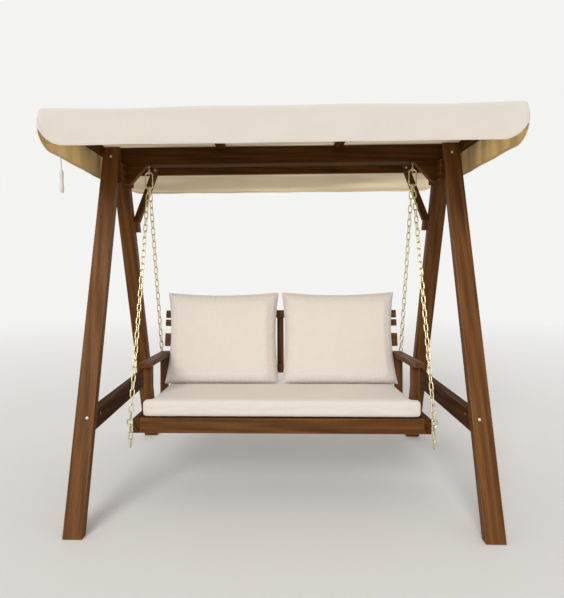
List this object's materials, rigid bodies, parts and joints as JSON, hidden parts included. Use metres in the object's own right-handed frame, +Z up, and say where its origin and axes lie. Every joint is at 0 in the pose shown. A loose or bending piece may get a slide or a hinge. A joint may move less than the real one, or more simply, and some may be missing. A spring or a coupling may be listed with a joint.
{
  "type": "canopy swing",
  "caption": "Wooden garden swing bench on chains under a cloth canopy, hung from an A-frame with a top beam, with armrests, a slatted back and loose cushions.",
  "frame": {"origin": "on the ground, in the middle of the four feet", "axes": "+X to the sitter's left as seen from the front (picture's right), +Y to the rear, +Z up"},
  "size_m": [2.1012, 1.3903, 1.9056],
  "materials": {
    "stained_wood": "satin walnut stain",
    "canopy_cloth": "plain weave",
    "cushion_cloth": "linen weave",
    "cord": "twisted cotton",
    "toggle": "painted cream",
    "chain_metal": "yellow zinc plate",
    "zinc_steel": "zinc plate"
  },
  "bodies": {
    "frame": {"barrel_nuts": "zinc_steel", "brace_block_left": "stained_wood", "brace_block_right": "stained_wood", "canopy_batten_left": "stained_wood", "canopy_batten_right": "stained_wood", "canopy_cover": "canopy_cloth", "canopy_front_rail": "stained_wood", "canopy_rear_rail": "stained_wood", "canopy_screws": "zinc_steel", "canopy_side_rail_left": "stained_wood", "canopy_side_rail_right": "stained_wood", "collar_board_left": "stained_wood", "collar_board_right": "stained_wood", "corner_gusset_left": "stained_wood", "corner_gusset_right": "stained_wood", "eye_bolts": "chain_metal", "frame_bolts": "zinc_steel", "frame_nuts": "zinc_steel", "frame_screws": "zinc_steel", "front_leg_left": "stained_wood", "front_leg_right": "stained_wood", "knee_brace_left": "stained_wood", "knee_brace_right": "stained_wood", "lower_rail_left": "stained_wood", "lower_rail_right": "stained_wood", "rear_leg_left": "stained_wood", "rear_leg_right": "stained_wood", "tie_cord": "cord", "tie_toggle": "toggle", "top_beam": "stained_wood"},
    "swing": {"arm_posts": "stained_wood", "armrest_left": "stained_wood", "armrest_right": "stained_wood", "back_bottom_rail": "stained_wood", "back_cushion_left": "cushion_cloth", "back_cushion_right": "cushion_cloth", "back_slats": "stained_wood", "back_stiles": "stained_wood", "back_top_rail": "stained_wood", "chain_front_left": "chain_metal", "chain_front_right": "chain_metal", "chain_rear_left": "chain_metal", "chain_rear_right": "chain_metal", "seat_bearers": "stained_wood", "seat_bolts": "zinc_steel", "seat_cushion": "cushion_cloth", "seat_eyes": "chain_metal", "seat_front_rail": "stained_wood", "seat_rear_rail": "stained_wood", "seat_side_rail_left": "stained_wood", "seat_side_rail_right": "stained_wood", "seat_slats": "stained_wood", "slat_screws": "zinc_steel", "snap_hook_left": "chain_metal", "snap_hook_right": "chain_metal"},
    "gate_left": {"hook_gate_left": "chain_metal"},
    "gate_right": {"hook_gate_right": "chain_metal"},
    "tail_left": {"chain_tail_left": "chain_metal"},
    "tail_right": {"chain_tail_right": "chain_metal"}
  },
  "joints": [
    {"name": "swing_fore_and_aft", "type": "hinge", "parent": "frame", "child": "swing", "pos_m": [0, 0, 1.7513], "axis": [1, 0, 0], "range_deg": [-25, 25]},
    {"name": "gate_left_open", "type": "hinge", "parent": "swing", "child": "gate_left", "pos_m": [-0.727, 0, 1.6868], "axis": [0, -1, 0], "range_deg": [0, 25], "stiffness_Nm_per_rad": 0.05, "springref_deg": -5.73},
    {"name": "gate_right_open", "type": "hinge", "parent": "swing", "child": "gate_right", "pos_m": [0.727, 0, 1.6868], "axis": [0, 1, 0], "range_deg": [0, 25], "stiffness_Nm_per_rad": 0.05, "springref_deg": -5.73},
    {"name": "tail_left_hang", "type": "hinge", "parent": "swing", "child": "tail_left", "pos_m": [-0.769, -0.3535, 0.40299], "axis": [1, 0, 0], "range_deg": [-60, 60]},
    {"name": "tail_right_hang", "type": "hinge", "parent": "swing", "child": "tail_right", "pos_m": [0.769, -0.3535, 0.40299], "axis": [1, 0, 0], "range_deg": [-60, 60]}
  ]
}
